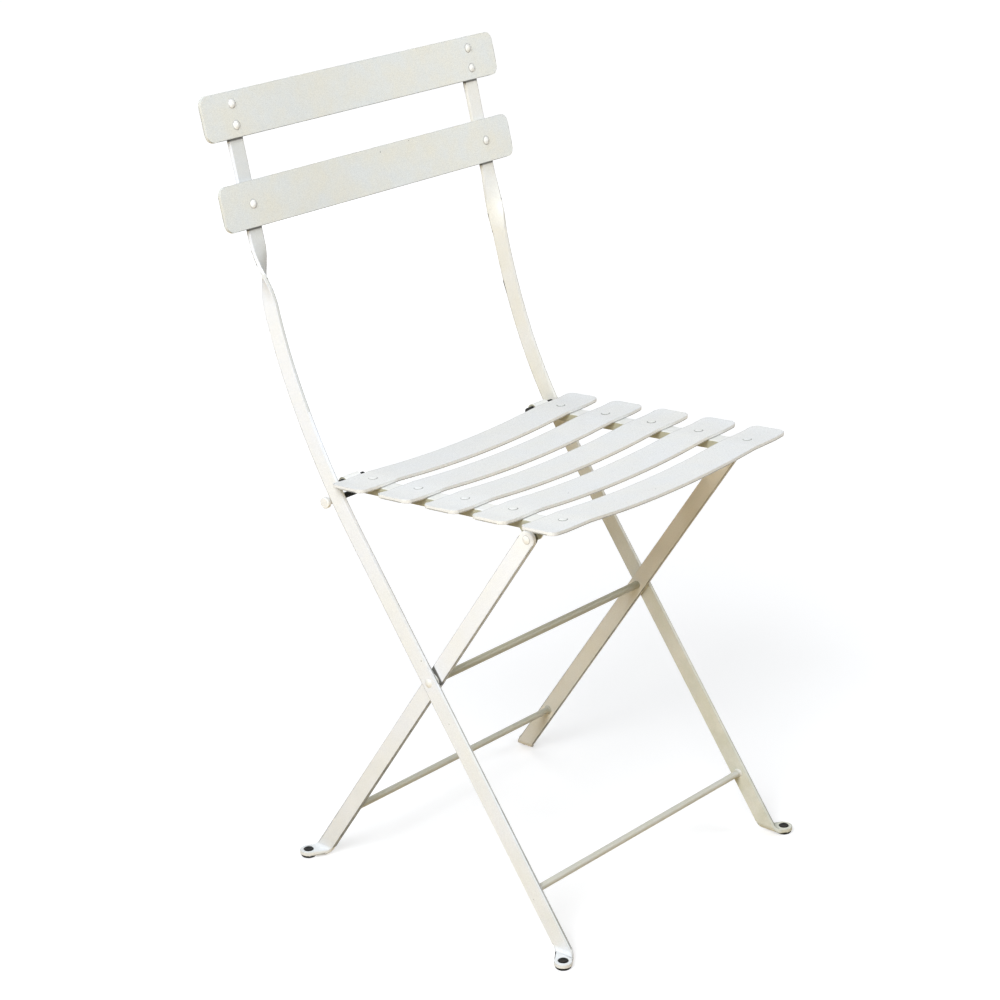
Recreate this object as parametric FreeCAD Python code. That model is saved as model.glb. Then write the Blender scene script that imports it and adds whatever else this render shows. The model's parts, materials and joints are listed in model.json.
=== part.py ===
import FreeCAD, Part

import math
import os

from FreeCAD import Vector

# Folding bistro chair of flat steel bar, open and standing on the floor.
# Millimetres and degrees. X runs across the chair, Y to the rear, Z up from the floor.
# Left is the sitter's left, at +X. While it is built, Y is zero at the fold pivot,
# and the finished chair is moved so that its base is centred on the origin.

# Flat bar of the four legs
bar_width = 18.0
bar_thick = 4.5

# Side view of the crossed legs
pivot_height = 244.6
long_leg_lean = 35.8
short_leg_lean = 34.1
pivot_to_hinge = 216.5

# Upper part of the long legs, measured along the bar upward from the pivot
bend_start = 171.0
bend_radius = 630.0
back_lean = 14.15
back_spread = 3.3
twist_lead = 7.0
twist_length = 68.0
twist_turn = 90.0
top_corner = 4.0

# Front view: how the pieces stack inward from the back stiles to the seat rails
stile_inset = 39.65
hinge_gap = 3.9
fold_gap = 2.4
side_clearance = 0.3
pin_clearance = 0.06

# Feet: the bar is bent outward flat on the floor and carries a plastic glide
foot_bend = 4.0
tab_reach = 8.7
glide_foot_radius = 8.0
glide_foot_height = 3.0
glide_plug_radius = 5.0
glide_plug_proud = 0.9

# Cross rods
rod_radius = 3.6
front_rod_drop = 227.0
rear_rod_drop = 222.2

# Fold pivot
pivot_rod_radius = 4.0
pivot_journal_radius = 3.2
pivot_washer_radius = 8.5
pivot_head_radius = 4.6
pivot_head_height = 1.8

# Back slats
back_slat_length = 424.0
back_slat_width = 45.5
back_slat_thick = 4.0
back_slat_corner = 9.0
top_slat_rise = 185.0
lower_slat_rise = 96.9
top_rivet_pitch = 21.0
stile_end_margin = 7.0

# Rivet heads have flat sides and taper to a share of their base
head_sides = 12
head_top_share = 0.6
back_head_radius = 4.6
back_head_height = 2.1

# Seat slats
seat_slat_count = 5
seat_slat_overhang = 27.0
seat_slat_width = 40.0
seat_slat_thick = 4.0
seat_slat_corner = 7.0
dish_radius = 1080.0
dish_blend_radius = 96.0
tip_rise_radius = 330.0
seat_head_radius = 4.4
seat_head_height = 0.8

# Seat rails: folded channels, open below
rail_width = 21.5
rail_plate = 2.0
rail_depth = 9.0
rail_fold_share = 0.9
rail_nose = 42.0
rail_nose_round = 5.0
hinge_drop = 15.9
hinge_to_last_slat = 30.0
hook_to_first_slat = 11.0
ear_radius = 8.0
ear_foot = 15.0

# Seat hinge rivets
hinge_rivet_radius = 3.0
hinge_head_radius = 4.6
hinge_head_height = 1.5
hinge_washer_radius = 7.4

# Rest pegs on the long legs, under the rear ends of the seat rails
peg_rise = 215.6
peg_forward = 1.9
peg_radius = 2.4
peg_sleeve_radius = 3.9
peg_reach = 8.0
peg_below_rail_top = 2.9

# Hook of the rail over the peg, and the guide pin behind the long leg
hook_clearance = 0.35
hook_run_in = 5.0
hook_path_angle = 23.0
guide_below_peg = 10.3
guide_gap = 4.8
guide_head_radius = 5.8
guide_pin_radius = 2.0
guide_collar_radius = 3.4
guide_sleeve_radius = 3.0
claw_radius = 6.2

# Sections along the lofted bars, and how far the cutters run past a face
bend_sections = 5
loft_step = 17.0
loft_start_share = 0.25
near_share = 0.25
overrun = 2.0


# Places across the chair, from the stiles inward
stile_x = back_slat_length / 2 - stile_inset
long_mid_x = stile_x - back_spread
long_outer_x = long_mid_x + bar_thick / 2
long_inner_x = long_outer_x - bar_thick
short_outer_x = long_inner_x - fold_gap
short_inner_x = short_outer_x - bar_thick
rail_outer_x = short_inner_x - hinge_gap
rail_inner_x = rail_outer_x - rail_width
rail_mid_x = (rail_outer_x + rail_inner_x) / 2
peg_end_x = rail_inner_x - peg_reach
seat_slat_length = (rail_outer_x + seat_slat_overhang) * 2
rail_fold = rail_plate * rail_fold_share

# Places up the long leg
bend_length = bend_radius * math.radians(long_leg_lean - back_lean)
bend_end = bend_start + bend_length
loft_start = bend_start + bend_length * loft_start_share
twist_start = bend_end - twist_lead
twist_end = twist_start + twist_length
stile_end = bend_end + top_slat_rise + back_slat_width / 2 - stile_end_margin
guide_rise = peg_rise - guide_below_peg
tab_top = glide_foot_height + bar_thick
foot_start = tab_top + foot_bend


def side_point(y, z, x=0):
    """A point of a side view, in the plane at x."""
    return Vector(x, y, z)


def direction(lean):
    """Unit step up along a bar that leans to the rear by an angle from upright."""
    return Vector(0, math.sin(math.radians(lean)), math.cos(math.radians(lean)))


def rearward(lean):
    """Unit step square to that bar, to the rear."""
    return Vector(0, math.cos(math.radians(lean)), -math.sin(math.radians(lean)))


pivot = side_point(0, pivot_height)
hinge = pivot + direction(-short_leg_lean) * pivot_to_hinge


def stile_lean(s):
    """Lean of the long leg at a distance s up the bar from the pivot."""
    bent = min(max(s - bend_start, 0), bend_length)
    return long_leg_lean - math.degrees(bent / bend_radius)


def stile_at(s, offset=0):
    """Middle line of the long leg in side view, moved to the rear by the offset."""
    lean = stile_lean(s)
    point = pivot + direction(long_leg_lean) * min(s, bend_start)
    if s > bend_start:
        centre = point - rearward(long_leg_lean) * bend_radius
        point = centre + rearward(lean) * bend_radius
    if s > bend_end:
        point = point + direction(lean) * (s - bend_end)
    return point + rearward(lean) * offset


def smooth(share):
    """Ease from 0 to 1 with level ends."""
    share = min(max(share, 0), 1)
    return share * share * (3 - 2 * share)


def line(start, end):
    return Part.LineSegment(start, end).toShape()


def arc(start, middle, end):
    return Part.Arc(start, middle, end).toShape()


def turn(centre, radius, start_angle, end_angle):
    """Arc in a side view, with angles from the rear towards up."""
    def at(angle):
        reach = side_point(math.cos(math.radians(angle)), math.sin(math.radians(angle)))
        return centre + reach * radius
    return arc(at(start_angle), at((start_angle + end_angle) / 2), at(end_angle))


def plate(edges, thickness):
    """Solid from a closed outline, thickened along a vector."""
    return Part.Face(Part.Wire(edges)).extrude(thickness)


def polygon(points):
    return Part.makePolygon(points + points[:1])


def across(y, z, radius, x_start, x_end):
    """Round bar or hole along X."""
    return Part.makeCylinder(radius, x_end - x_start, side_point(y, z, x_start), Vector(1, 0, 0))


def mirrored(shape):
    return shape.mirror(Vector(0, 0, 0), Vector(1, 0, 0))


def fused(first, *others):
    return first.fuse(list(others)).removeSplitter()


def ring_of_points(radius, level):
    turns = [math.radians(360) * i / head_sides for i in range(head_sides)]
    return polygon([Vector(math.cos(t) * radius, math.sin(t) * radius, level) for t in turns])


def rivet_head(spot, way, base_radius, height):
    """Low head of a rivet, standing on a face at the spot."""
    rings = [ring_of_points(base_radius, 0), ring_of_points(base_radius * head_top_share, height)]
    head = Part.makeLoft(rings, True, True)
    head.Placement = FreeCAD.Placement(spot, FreeCAD.Rotation(Vector(0, 0, 1), way))
    return head


def headed_pin(spot, radius, x_start, x_end, head_radius, head_height):
    """Pin along X with a rivet head at each end."""
    pin = across(spot.y, spot.z, radius, x_start, x_end)
    start = Vector(x_start, spot.y, spot.z)
    end = Vector(x_end, spot.y, spot.z)
    low = rivet_head(start, Vector(-1, 0, 0), head_radius, head_height)
    high = rivet_head(end, Vector(1, 0, 0), head_radius, head_height)
    return fused(pin, low, high)


def foot(outer_x, lean, way):
    """Bent foot of a leg whose outer face is at outer_x; way is -1 forward or 1 rearward."""
    slope = math.tan(math.radians(lean))
    cut_length = bar_width / math.cos(math.radians(lean))
    middle_radius = foot_bend + bar_thick / 2
    start_y = way * (pivot_height - foot_start) * slope
    sections = []
    for i in range(bend_sections):
        angle = math.radians(90) * i / (bend_sections - 1)
        out = Vector(-math.cos(angle), 0, -math.sin(angle))
        centre_y = start_y + way * middle_radius * angle * slope
        corner = Vector(outer_x + foot_bend, centre_y, tab_top + foot_bend)
        half = Vector(0, cut_length / 2, 0)
        inner = corner + out * foot_bend
        outer = corner + out * (foot_bend + bar_thick)
        sections.append(polygon([inner - half, inner + half, outer + half, outer - half]))
    bend = Part.makeLoft(sections, True, False)

    tab_x = outer_x + foot_bend
    tab_y = start_y + way * middle_radius * math.radians(90) * slope
    end = glide_centre(outer_x, lean, way)
    along = Vector(math.cos(math.radians(lean)), way * math.sin(math.radians(lean)), 0)
    square = Vector(-along.y, along.x, 0)
    near = Vector(tab_x, tab_y - cut_length / 2, tab_top)
    far = Vector(tab_x, tab_y + cut_length / 2, tab_top)
    half_width = bar_width / 2
    edges = [
        line(near, far),
        line(far, end + square * half_width),
        arc(end + square * half_width, end + along * half_width, end - square * half_width),
        line(end - square * half_width, near),
    ]
    tab = plate(edges, Vector(0, 0, -bar_thick))
    return fused(bend, tab)


def glide_centre(outer_x, lean, way):
    """Centre of the glide on top of the foot's tab."""
    slope = math.tan(math.radians(lean))
    bend_run = (foot_bend + bar_thick / 2) * math.radians(90)
    run = pivot_height - foot_start + bend_run + tab_reach
    return Vector(outer_x + foot_bend + tab_reach, way * run * slope, tab_top)


def glide(centre):
    """Plastic glide: a round foot under the tab and a plug that stands a little above it."""
    start = Vector(centre.x, centre.y, 0)
    disc = Part.makeCylinder(glide_foot_radius, glide_foot_height, start)
    plug = Part.makeCylinder(glide_plug_radius, tab_top + glide_plug_proud, start)
    return fused(disc, plug)


def glide_hole(centre):
    start = Vector(centre.x, centre.y, 0)
    return Part.makeCylinder(glide_plug_radius, tab_top + overrun, start)


def long_leg():
    """Long leg and back stile in one bar: foot, straight run, bend, quarter twist, top."""
    half = bar_width / 2
    slope = math.tan(math.radians(long_leg_lean))
    reach = half / math.cos(math.radians(long_leg_lean))
    foot_y = -(pivot_height - foot_start) * slope
    low_rear = side_point(foot_y + reach, foot_start, long_inner_x)
    low_front = side_point(foot_y - reach, foot_start, long_inner_x)
    inward = Vector(long_inner_x, 0, 0)
    middle = (bend_start + loft_start) / 2
    rear = [stile_at(s, half) + inward for s in (bend_start, middle, loft_start)]
    front = [stile_at(s, -half) + inward for s in (loft_start, middle, bend_start)]
    edges = [
        line(low_rear, rear[0]),
        arc(*rear),
        line(rear[2], front[0]),
        arc(*front),
        line(front[2], low_front),
        line(low_front, low_rear),
    ]
    shank = plate(edges, Vector(bar_thick, 0, 0))

    count = math.ceil((twist_end - loft_start) / loft_step)
    stations = [loft_start + (twist_end - loft_start) * i / count for i in range(count + 1)]
    twisted = Part.makeLoft([stile_section(s) for s in stations], True, False)
    upright = Part.Face(stile_section(twist_end))
    top = upright.extrude(direction(back_lean) * (stile_end - twist_end))
    top_edges = [e for e in top.Edges if is_top_corner(e)]
    top = top.makeFillet(top_corner, top_edges)

    bar = fused(shank, twisted, top, foot(long_outer_x, long_leg_lean, -1))
    journal = across(pivot.y, pivot.z, pivot_journal_radius, long_inner_x - overrun, long_outer_x + overrun)
    return bar.cut([journal, glide_hole(glide_centre(long_outer_x, long_leg_lean, -1))])


def is_top_corner(edge):
    """True for the two short edges at the upper end of the stile."""
    tip = stile_at(stile_end)
    heights = [direction(back_lean).dot(v.Point - tip) for v in edge.Vertexes]
    level = all(abs(h) < bar_thick * near_share for h in heights)
    return level and edge.Length < (bar_width + bar_thick) / 2


def stile_section(s):
    """Cross section of the bar, turned by the twist and moved out by the spread."""
    lean = stile_lean(s)
    twist = math.radians(twist_turn) * smooth((s - twist_start) / twist_length)
    out = back_spread * smooth((s - loft_start) / (bend_end - loft_start))
    centre = stile_at(s) + Vector(long_mid_x + out, 0, 0)
    sideways = Vector(1, 0, 0)
    back = rearward(lean)
    thick = (sideways * math.cos(twist) + back * math.sin(twist)) * (bar_thick / 2)
    wide = (back * math.cos(twist) - sideways * math.sin(twist)) * (bar_width / 2)
    return polygon([centre - thick - wide, centre + thick - wide,
                    centre + thick + wide, centre - thick + wide])


def on_stile(shape, rise):
    """Move a shape from the upright origin onto the leaning stile, above the bend."""
    placed = shape.copy()
    placed.rotate(Vector(0, 0, 0), Vector(1, 0, 0), -back_lean)
    placed.translate(stile_at(bend_end + rise))
    return placed


def back_rivet_rises():
    half = top_rivet_pitch / 2
    return [top_slat_rise + half, top_slat_rise - half, lower_slat_rise]


def front_rod_at():
    return pivot - direction(long_leg_lean) * front_rod_drop


def rear_rod_at():
    return pivot - direction(-short_leg_lean) * rear_rod_drop


def peg_at():
    return stile_at(peg_rise, -peg_forward)


def guide_at():
    """Guide pin axis, behind the rear edge of the long leg."""
    return stile_at(guide_rise, bar_width / 2 + guide_gap + guide_head_radius)


def short_leg():
    """Short leg: bent foot, straight bar and a round end at the seat hinge."""
    half = bar_width / 2
    slope = math.tan(math.radians(short_leg_lean))
    reach = half / math.cos(math.radians(short_leg_lean))
    foot_y = (pivot_height - foot_start) * slope
    inward = Vector(short_inner_x, 0, 0)
    up = direction(-short_leg_lean)
    back = rearward(-short_leg_lean)
    end = hinge + inward
    low_rear = side_point(foot_y + reach, foot_start, short_inner_x)
    low_front = side_point(foot_y - reach, foot_start, short_inner_x)
    edges = [
        line(low_rear, end + back * half),
        arc(end + back * half, end + up * half, end - back * half),
        line(end - back * half, low_front),
        line(low_front, low_rear),
    ]
    bar = fused(plate(edges, Vector(bar_thick, 0, 0)), foot(short_outer_x, short_leg_lean, 1))
    holes = [glide_hole(glide_centre(short_outer_x, short_leg_lean, 1))]
    for spot, radius in ((pivot, pivot_journal_radius + pin_clearance), (hinge, hinge_rivet_radius)):
        holes.append(across(spot.y, spot.z, radius, short_inner_x - overrun, short_outer_x + overrun))
    return bar.cut(holes)


def cross_rod(spot, inner_x):
    """Round rod welded between the inner faces of two legs."""
    return across(spot.y, spot.z, rod_radius, -inner_x, inner_x)


def pivot_rod():
    """Middle rod: it is riveted over outside the long legs and the short legs turn on it."""
    shoulder = short_inner_x - side_clearance
    rod = across(pivot.y, pivot.z, pivot_rod_radius, -shoulder, shoulder)
    journals = headed_pin(pivot, pivot_journal_radius, -long_outer_x, long_outer_x,
                          pivot_head_radius, pivot_head_height)
    return fused(rod, journals)


def ring(spot, outer_radius, hole_radius, x_start, x_end):
    disc = across(spot.y, spot.z, outer_radius, x_start, x_end)
    return disc.cut(across(spot.y, spot.z, hole_radius, x_start, x_end))


def pivot_washer():
    start = short_outer_x + side_clearance
    return ring(pivot, pivot_washer_radius, pivot_journal_radius, start, long_inner_x)


def rounded_plan(length, width, corner, height):
    """Upright block with rounded corners, centred on the origin, from zero to height."""
    x = length / 2
    y = width / 2
    block = Part.makeBox(length, width, height, Vector(-x, -y, 0))
    upright = [e for e in block.Edges if abs(e.Vertexes[0].Z - e.Vertexes[1].Z) > height / 2]
    return block.makeFillet(corner, upright)


def back_slat(rise):
    """Flat back slat in front of the stiles."""
    slat = rounded_plan(back_slat_length, back_slat_width, back_slat_corner, back_slat_thick)
    slat.rotate(Vector(0, 0, 0), Vector(1, 0, 0), 90)
    slat.translate(Vector(0, -bar_thick / 2, 0))
    return on_stile(slat, rise)


def back_rivets(rises):
    """Rivet heads on the front of the back slats, over the stiles."""
    solids = []
    for rise in rises:
        for x in (-stile_x, stile_x):
            spot = Vector(x, -bar_thick / 2 - back_slat_thick, 0)
            head = rivet_head(spot, Vector(0, -1, 0), back_head_radius, back_head_height)
            solids.append(on_stile(head, rise))
    return Part.makeCompound(solids)


# Seat: built level with the hinge at the origin, then tilted so that it lies on the pegs
peg_level = hinge_drop - peg_below_rail_top
peg_span = (peg_at() - hinge).Length
peg_along = math.sqrt(peg_span ** 2 - peg_level ** 2)
seat_tilt = math.degrees(math.asin(peg_level / peg_span)
                         - math.atan2(peg_at().z - hinge.z, peg_at().y - hinge.y))


def on_seat(shape):
    placed = shape.copy()
    placed.rotate(Vector(0, 0, 0), Vector(1, 0, 0), -seat_tilt)
    placed.translate(hinge)
    return placed


def in_seat(point):
    """Place of a side view point in the level seat."""
    tilt = math.radians(seat_tilt)
    y = point.y - hinge.y
    z = point.z - hinge.z
    return side_point(y * math.cos(tilt) - z * math.sin(tilt), y * math.sin(tilt) + z * math.cos(tilt))


def slat_middles():
    """Distances of the seat slats to the rear of the hinge, rear slat first."""
    first = peg_along - hook_to_first_slat - seat_slat_width / 2
    last = -hinge_to_last_slat
    pitch = (first - last) / (seat_slat_count - 1)
    return [first - pitch * i for i in range(seat_slat_count)]


def dish_edges(lift):
    """Right half of a slat's long section, lifted from its lower face, as middle and end edges.

    The slat sags between the rails in one large arc, is laid flat on the rail by a small
    reverse arc, and its free tip rises again a little.
    """
    flat_start = rail_inner_x + rail_fold
    sweep = math.asin(flat_start / (dish_radius + dish_blend_radius))
    sag_top = hinge_drop
    blend_centre = Vector(flat_start, 0, sag_top - dish_blend_radius)
    dish_centre = Vector(0, 0, blend_centre.z + (dish_radius + dish_blend_radius) * math.cos(sweep))
    tip_centre = Vector(rail_outer_x, 0, sag_top + tip_rise_radius)
    tip_x = seat_slat_length / 2 + overrun
    big = dish_radius - lift
    small = dish_blend_radius + lift
    tip = tip_rise_radius - lift
    tip_angle = math.asin((tip_x - rail_outer_x) / tip_rise_radius)

    def around(centre, radius, angle):
        return centre + Vector(math.sin(angle), 0, math.cos(angle)) * radius

    low = around(dish_centre, -big, 0)
    join = around(dish_centre, -big, -sweep)
    level = blend_centre + Vector(0, 0, small)
    out = tip_centre - Vector(0, 0, tip)
    return [
        arc(low, around(dish_centre, -big, -sweep / 2), join),
        arc(join, around(blend_centre, small, -sweep / 2), level),
        line(level, out),
        arc(out, around(tip_centre, -tip, -tip_angle / 2), around(tip_centre, -tip, -tip_angle)),
    ]


def seat_slat(middle):
    """Dished seat slat with rounded ends."""
    lower = dish_edges(0)
    upper = dish_edges(seat_slat_thick)
    close_low = line(lower[0].Vertexes[0].Point, upper[0].Vertexes[0].Point)
    close_tip = line(lower[-1].Vertexes[-1].Point, upper[-1].Vertexes[-1].Point)
    outline = Part.Wire(Part.__sortEdges__(lower + upper + [close_low, close_tip]))
    half = Part.Face(outline).extrude(Vector(0, seat_slat_width, 0))
    half.translate(Vector(0, -seat_slat_width / 2, 0))
    lowest = hinge_drop - outline.BoundBox.ZLength
    height = outline.BoundBox.ZLength * 2
    plan = rounded_plan(seat_slat_length, seat_slat_width, seat_slat_corner, height)
    plan.translate(Vector(0, 0, lowest))
    slat = fused(half, mirrored(half)).common(plan)
    slat.translate(Vector(0, middle, 0))
    return on_seat(slat)


def seat_rivets():
    """Low rivet heads on the slats, over the rails."""
    solids = []
    for middle in slat_middles():
        for x in (-rail_mid_x, rail_mid_x):
            spot = Vector(x, middle, hinge_drop + seat_slat_thick)
            head = rivet_head(spot, Vector(0, 0, 1), seat_head_radius, seat_head_height)
            solids.append(on_seat(head))
    return Part.makeCompound(solids)


def tangent_at(centre, radius, outside, side):
    """Where the tangent from an outside point touches a circle; side is 1 or -1."""
    dy = outside.y - centre.y
    dz = outside.z - centre.z
    angle = math.atan2(dz, dy) + side * math.acos(radius / math.hypot(dy, dz))
    return math.degrees(angle)


def on_circle(centre, radius, angle):
    return centre + side_point(math.cos(math.radians(angle)), math.sin(math.radians(angle))) * radius


def hinge_ear():
    """Rounded ear under the outer flange, round the seat hinge."""
    origin = side_point(0, 0)
    bottom = hinge_drop - rail_depth
    front = side_point(-ear_foot, bottom)
    rear = side_point(ear_foot, bottom)
    front_angle = tangent_at(origin, ear_radius, front, 1)
    rear_angle = tangent_at(origin, ear_radius, rear, -1) + 360
    root_front = side_point(-ear_foot, hinge_drop - rail_plate)
    root_rear = side_point(ear_foot, hinge_drop - rail_plate)
    edges = [
        line(root_rear, root_front),
        line(root_front, front),
        line(front, on_circle(origin, ear_radius, front_angle)),
        turn(origin, ear_radius, front_angle, rear_angle),
        line(on_circle(origin, ear_radius, rear_angle), rear),
        line(rear, root_rear),
    ]
    return plate(edges, Vector(rail_plate, 0, 0))


def seat_claw(peg, guide, hole):
    """Claw of the outer flange, from the hook down behind the peg to the guide pin."""
    outside = hole + rail_plate
    reach = math.hypot(guide.y - peg.y, guide.z - peg.z)
    back_angle = math.degrees(math.atan2(guide.z - peg.z, guide.y - peg.y)
                              + math.acos((outside - claw_radius) / reach))
    hook_foot = on_circle(peg, hole, -hook_path_angle)
    front_angle = tangent_at(guide, claw_radius, hook_foot, 1)
    edges = [
        turn(peg, hole, back_angle, -hook_path_angle),
        line(hook_foot, on_circle(guide, claw_radius, front_angle)),
        turn(guide, claw_radius, front_angle, back_angle + 360),
        line(on_circle(guide, claw_radius, back_angle), on_circle(peg, outside, back_angle)),
        line(on_circle(peg, outside, back_angle), on_circle(peg, hole, back_angle)),
    ]
    return plate(edges, Vector(rail_plate, 0, 0))


def seat_rail():
    """Rail on the left: web, two flanges, hinge ear, and the hook and claw at the rear."""
    peg = in_seat(peg_at())
    guide = in_seat(guide_at())
    top = hinge_drop
    bottom = hinge_drop - rail_depth
    inside = top - rail_plate
    hole = peg_sleeve_radius + hook_clearance
    outside = hole + rail_plate

    # Run of the web up onto the hook
    run_y = math.sqrt((outside + hook_run_in) ** 2 - (top + hook_run_in - peg.z) ** 2)
    run_centre = side_point(peg.y - run_y, top + hook_run_in)
    run_angle = math.degrees(math.atan2(run_centre.z - peg.z, run_centre.y - peg.y))

    # The seat lifts off the peg along a slant, and the slot follows it
    slant = math.radians(hook_path_angle)
    slot_top = on_circle(peg, hole, 180 - hook_path_angle)
    slot_drop = slot_top.z - bottom
    slot_foot = side_point(slot_top.y - slot_drop * math.tan(slant), bottom)
    web_end = on_circle(peg, outside, -hook_path_angle)
    hook_foot = on_circle(peg, hole, -hook_path_angle)
    web_angle = 180 - math.degrees(math.asin((inside - peg.z) / hole))

    front_top = side_point(-rail_nose, top)
    over = [
        line(front_top, side_point(run_centre.y, top)),
        turn(run_centre, hook_run_in, -90, run_angle - 180),
        turn(peg, outside, run_angle, -hook_path_angle),
        line(web_end, hook_foot),
    ]
    web_edges = over + [
        turn(peg, hole, -hook_path_angle, web_angle),
        line(on_circle(peg, hole, web_angle), side_point(-rail_nose, inside)),
        line(side_point(-rail_nose, inside), front_top),
    ]
    nose_centre = side_point(-rail_nose + rail_nose_round, bottom + rail_nose_round)
    flange_edges = over + [
        turn(peg, hole, -hook_path_angle, 180 - hook_path_angle),
        line(slot_top, slot_foot),
        line(slot_foot, side_point(nose_centre.y, bottom)),
        turn(nose_centre, rail_nose_round, 270, 180),
        line(side_point(-rail_nose, nose_centre.z), front_top),
    ]
    web = plate(web_edges, Vector(rail_width, 0, 0))
    inner_flange = plate(flange_edges, Vector(rail_plate, 0, 0))
    outer_flange = inner_flange.copy()
    outer_flange.translate(Vector(rail_width - rail_plate, 0, 0))
    channel = fused(web, inner_flange, outer_flange)
    folds = [fold_corner(0, 1, run_centre.y), fold_corner(rail_width, -1, run_centre.y)]
    channel = channel.cut(folds)
    tabs = [hinge_ear(), seat_claw(peg, guide, hole)]
    for tab in tabs:
        tab.translate(Vector(rail_width - rail_plate, 0, 0))
    rail = fused(channel, *tabs)
    rail.translate(Vector(rail_inner_x, 0, 0))

    holes = [
        across(0, 0, hinge_rivet_radius + pin_clearance, rail_mid_x, rail_outer_x + overrun),
        across(guide.y, guide.z, guide_pin_radius, rail_mid_x, rail_outer_x + overrun),
    ]
    return on_seat(rail.cut(holes))


def fold_corner(x, inward, run_start):
    """What the bend of the sheet takes off an upper edge of the rail, up to the hook."""
    low = hinge_drop - rail_fold
    start = Vector(x + inward * rail_fold, -rail_nose, low)
    length = run_start + rail_nose
    corner = Part.makeBox(rail_fold, length, rail_fold, Vector(min(x, start.x), -rail_nose, low))
    return corner.cut(Part.makeCylinder(rail_fold, length, start, Vector(0, 1, 0)))


def hinge_rivet():
    """Rivet through the short leg, its washer and the ear, with its head outside."""
    start = rail_outer_x - rail_plate - side_clearance
    return headed_pin(hinge, hinge_rivet_radius, start, short_outer_x, hinge_head_radius,
                      hinge_head_height)


def hinge_washer():
    """Washer between the short leg and the rail, on the leg's side of the running gap."""
    start = rail_outer_x + side_clearance
    return ring(hinge, hinge_washer_radius, hinge_rivet_radius, start, short_inner_x)


def rest_peg():
    """Steel peg welded to the inner face of the long leg."""
    spot = peg_at()
    return across(spot.y, spot.z, peg_radius, peg_end_x + peg_sleeve_radius, long_inner_x)


def sleeve(spot, radius, pin_radius, x_end):
    """Plastic sleeve with a closed inner end over a pin."""
    body = across(spot.y, spot.z, radius, peg_end_x, x_end)
    return body.cut(across(spot.y, spot.z, pin_radius, peg_end_x + peg_sleeve_radius, x_end))


def guide_pin():
    """Guide pin: collar outside the claw and a round head behind the long leg."""
    spot = guide_at()
    head_start = long_inner_x - side_clearance
    head_end = long_outer_x - side_clearance
    pin = across(spot.y, spot.z, guide_pin_radius, peg_end_x + peg_sleeve_radius, rail_outer_x)
    collar = across(spot.y, spot.z, guide_collar_radius, rail_outer_x, head_start)
    head = across(spot.y, spot.z, guide_head_radius, head_start, head_end)
    return fused(pin, collar, head)


def both(shapes):
    """The pieces and their mirror images as separate solids of one node."""
    pieces = list(shapes)
    return Part.makeCompound(pieces + [mirrored(piece) for piece in pieces])


def chair():
    """Every node of the chair by name."""
    leg = long_leg()
    strut = short_leg()
    rail = seat_rail()
    rises = back_rivet_rises()
    nodes = {
        "left_long_leg": leg,
        "right_long_leg": mirrored(leg),
        "top_back_slat": back_slat(top_slat_rise),
        "lower_back_slat": back_slat(lower_slat_rise),
        "top_slat_rivets": back_rivets(rises[:2]),
        "lower_slat_rivets": back_rivets(rises[2:]),
        "front_cross_rod": cross_rod(front_rod_at(), long_inner_x),
        "pivot_rod": pivot_rod(),
        "pivot_washers": both([pivot_washer()]),
        "rest_pegs": both([rest_peg()]),
        "rest_peg_sleeves": both([sleeve(peg_at(), peg_sleeve_radius, peg_radius, long_inner_x)]),
        "front_glides": both([glide(glide_centre(long_outer_x, long_leg_lean, -1))]),
        "left_short_leg": strut,
        "right_short_leg": mirrored(strut),
        "rear_cross_rod": cross_rod(rear_rod_at(), short_inner_x),
        "seat_hinge_rivets": both([hinge_rivet()]),
        "seat_hinge_washers": both([hinge_washer()]),
        "rear_glides": both([glide(glide_centre(short_outer_x, short_leg_lean, 1))]),
        "left_seat_rail": rail,
        "right_seat_rail": mirrored(rail),
        "seat_slat_rivets": seat_rivets(),
        "guide_pins": both([guide_pin()]),
        "guide_pin_sleeves": both([sleeve(guide_at(), guide_sleeve_radius, guide_pin_radius,
                                          rail_outer_x - rail_plate)]),
    }
    for number, middle in enumerate(slat_middles(), 1):
        nodes["seat_slat_%d" % number] = seat_slat(middle)
    return nodes


def main():
    nodes = chair()
    boxes = [shape.optimalBoundingBox() for shape in nodes.values()]
    centre_y = (min(box.YMin for box in boxes) + max(box.YMax for box in boxes)) / 2
    os.makedirs("parts", exist_ok=True)
    for name, shape in nodes.items():
        shape.translate(Vector(0, -centre_y, 0))
        shape.exportStep("parts/%s.step" % name)
    print("height", round(max(box.ZMax for box in boxes), 2),
          "depth", round(2 * (max(box.YMax for box in boxes) - centre_y), 2))
    for label, spot in (("fold pivot", pivot), ("seat hinge", hinge)):
        print(label, round(spot.y - centre_y, 3), round(spot.z, 3))
    print("seat tilt", round(seat_tilt, 3))


main()
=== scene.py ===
# %% [markdown]
# # A folding bistro chair in cream paint
#
# The real chair is flat steel bar and sheet, cut, bent, riveted and then powder coated as a whole.
# The construction is already fixed: every bar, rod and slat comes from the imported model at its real
# size. This lesson dresses it: edges get the small round that steel and paint give them, round
# pieces are turned anew, and the paint and the plastic become procedural materials.

# %% Load the fixed frame
import json
import math

import bmesh
import bpy
from mathutils import Matrix, Vector


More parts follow.
